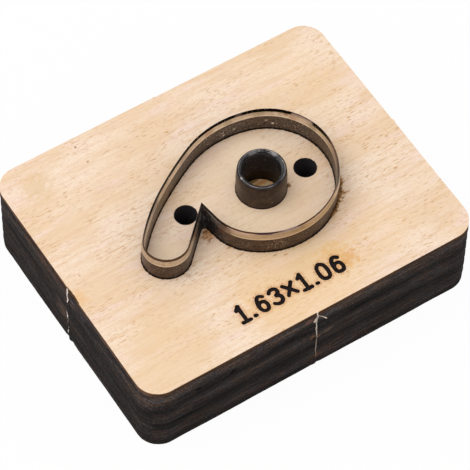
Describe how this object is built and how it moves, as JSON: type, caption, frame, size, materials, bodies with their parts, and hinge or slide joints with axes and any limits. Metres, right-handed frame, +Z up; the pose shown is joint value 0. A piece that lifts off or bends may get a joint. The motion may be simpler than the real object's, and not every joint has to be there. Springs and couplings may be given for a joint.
{
  "type": "cutting die",
  "caption": "Steel rule cutting die: a bent rule in a plywood board cuts a round outline with a tail, and a tube punch cuts a hole inside it.",
  "frame": {"origin": "centre of the board's underside, on the surface that the die lies on", "axes": "+X along the board's length, +Y along its width, +Z up to the cutting edges"},
  "size_m": [0.071, 0.0564, 0.024],
  "materials": {
    "birch_plywood": "bare birch face, sides charred by the laser",
    "rule_steel": "blued strip with bright ground bevels",
    "punch_steel": "blackened, turned, with a worn bright rim",
    "core_wood": "bare wood, darkened by the laser"
  },
  "bodies": {
    "root": {"die_board": "birch_plywood", "cutting_rule": "rule_steel", "tube_punch": "punch_steel", "punch_core": "core_wood"}
  },
  "joints": []
}
